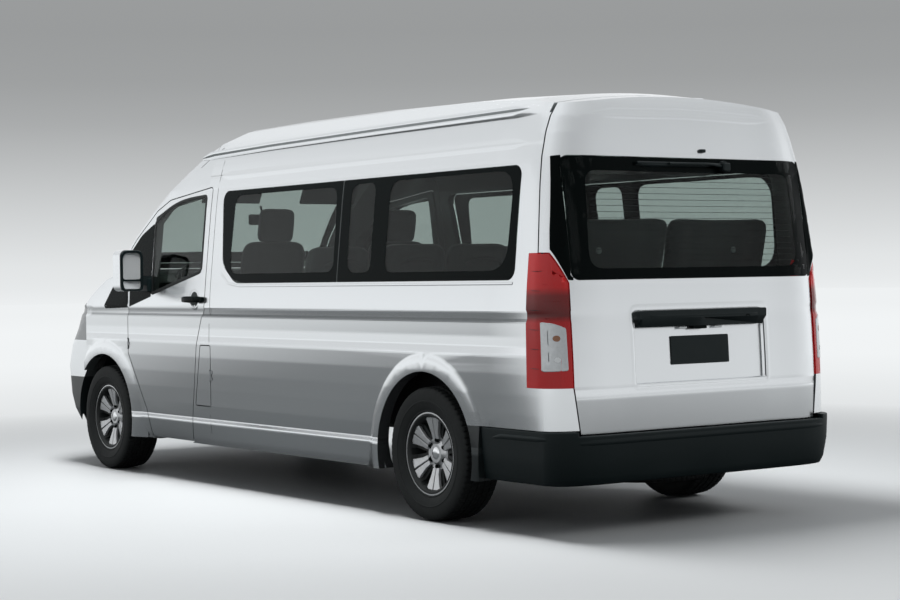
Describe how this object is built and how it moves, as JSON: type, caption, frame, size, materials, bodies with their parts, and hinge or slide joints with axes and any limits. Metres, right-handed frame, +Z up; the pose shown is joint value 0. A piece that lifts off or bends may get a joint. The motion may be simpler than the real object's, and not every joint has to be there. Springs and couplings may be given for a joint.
{
  "type": "passenger minibus",
  "caption": "Silver long-wheelbase minibus with hollow cabin, rows of seats, hinged doors, tailgate, bonnet and steered wheels.",
  "frame": {"origin": "on the ground under the middle of the vehicle's box", "axes": "+X forward, +Y to the vehicle's left, +Z up"},
  "size_m": [5.9144, 2.36, 2.2799],
  "materials": {
    "body_paint": "silver metallic paint",
    "dark_plastic": "dark grey grained bumper plastic",
    "tinted_glass": "dark tinted glass",
    "lamp": "clear and red lamp lenses",
    "tyre_rubber": "black tyre rubber",
    "alloy": "silver painted alloy",
    "chassis": "black chassis paint",
    "cast": "bare casting",
    "steel": "bare steel",
    "trim": "grained cabin plastic",
    "cloth": "grey woven seat cloth",
    "black_gloss": "black gloss plastic",
    "lining": "painted inside of the floor and walls"
  },
  "bodies": {
    "root": {"floor_pan": "chassis", "roof_panel": "body_paint", "side_panel_left": "body_paint", "side_panel_right": "body_paint", "sliding_door": "body_paint", "side_glass": "tinted_glass", "windscreen_frame": "body_paint", "windscreen": "tinted_glass", "fender_left": "body_paint", "fender_right": "body_paint", "front_bumper": "body_paint", "grille": "black_gloss", "headlamps": "lamp", "rear_bumper": "dark_plastic", "tail_lamps": "lamp", "arch_liners": "dark_plastic", "dashboard": "trim", "front_seats": "cloth", "rear_seats": "cloth", "engine_block": "cast", "drive_shaft": "steel", "fuel_tank": "dark_plastic", "exhaust": "steel", "rear_axle": "cast", "leaf_springs": "steel", "front_suspension": "chassis", "spare_wheel": "tyre_rubber"},
    "door_left": {"door_left": "body_paint", "door_glass_left": "tinted_glass", "mirror_left": "body_paint"},
    "door_right": {"door_right": "body_paint", "door_glass_right": "tinted_glass", "mirror_right": "body_paint"},
    "tailgate": {"tailgate": "body_paint", "tailgate_glass": "tinted_glass", "rear_wiper": "dark_plastic"},
    "bonnet": {"bonnet": "body_paint"},
    "fuel_flap": {"fuel_flap": "body_paint"},
    "steering_wheel": {"steering_wheel": "trim"},
    "knuckle_left": {"knuckle_left": "cast"},
    "knuckle_right": {"knuckle_right": "cast"},
    "wheel_front_left": {"tyre_front_left": "tyre_rubber", "rim_front_left": "alloy"},
    "wheel_front_right": {"tyre_front_right": "tyre_rubber", "rim_front_right": "alloy"},
    "wheel_rear_left": {"tyre_rear_left": "tyre_rubber", "rim_rear_left": "alloy"},
    "wheel_rear_right": {"tyre_rear_right": "tyre_rubber", "rim_rear_right": "alloy"}
  },
  "joints": [
    {"name": "door_left_hinge", "type": "hinge", "parent": "root", "child": "door_left", "pos_m": [1.7035, 0.955, 1], "axis": [0, 0, -1], "range_deg": [0, 68]},
    {"name": "door_right_hinge", "type": "hinge", "parent": "root", "child": "door_right", "pos_m": [1.7035, -0.955, 1], "axis": [0, 0, 1], "range_deg": [0, 68]},
    {"name": "tailgate_hinge", "type": "hinge", "parent": "root", "child": "tailgate", "pos_m": [-2.7015, 0, 2.19419], "axis": [0, 1, 0], "range_deg": [0, 88]},
    {"name": "bonnet_hinge", "type": "hinge", "parent": "root", "child": "bonnet", "pos_m": [2.185, 0, 1.362], "axis": [0, -1, 0], "range_deg": [0, 50]},
    {"name": "fuel_flap_hinge", "type": "hinge", "parent": "root", "child": "fuel_flap", "pos_m": [0.5525, 0.955, 0.69], "axis": [0, 0, 1], "range_deg": [0, 95]},
    {"name": "steer_left", "type": "hinge", "parent": "root", "child": "knuckle_left", "pos_m": [2.0575, 0.745, 0.356], "axis": [0, 0, 1], "range_deg": [-35, 35]},
    {"name": "steer_right", "type": "hinge", "parent": "root", "child": "knuckle_right", "pos_m": [2.0575, -0.745, 0.356], "axis": [0, 0, 1], "range_deg": [-35, 35]},
    {"name": "steering_turn", "type": "hinge", "parent": "root", "child": "steering_wheel", "pos_m": [1.56, 0.44, 1.235], "axis": [-0.848, 0, 0.5299], "range_deg": [-525, 525]},
    {"name": "spin_front_left", "type": "hinge", "parent": "knuckle_left", "child": "wheel_front_left", "pos_m": [2.0575, 0.835, 0.356], "axis": [0, 1, 0], "continuous": true},
    {"name": "spin_front_right", "type": "hinge", "parent": "knuckle_right", "child": "wheel_front_right", "pos_m": [2.0575, -0.835, 0.356], "axis": [0, 1, 0], "continuous": true},
    {"name": "spin_rear_left", "type": "hinge", "parent": "root", "child": "wheel_rear_left", "pos_m": [-1.8025, 0.835, 0.356], "axis": [0, 1, 0], "continuous": true},
    {"name": "spin_rear_right", "type": "hinge", "parent": "root", "child": "wheel_rear_right", "pos_m": [-1.8025, -0.835, 0.356], "axis": [0, 1, 0], "continuous": true}
  ],
  "couplings": [
    {"joint": "steer_right", "follows": "steer_left", "ratio": 1},
    {"joint": "steering_turn", "follows": "steer_left", "ratio": 15}
  ]
}
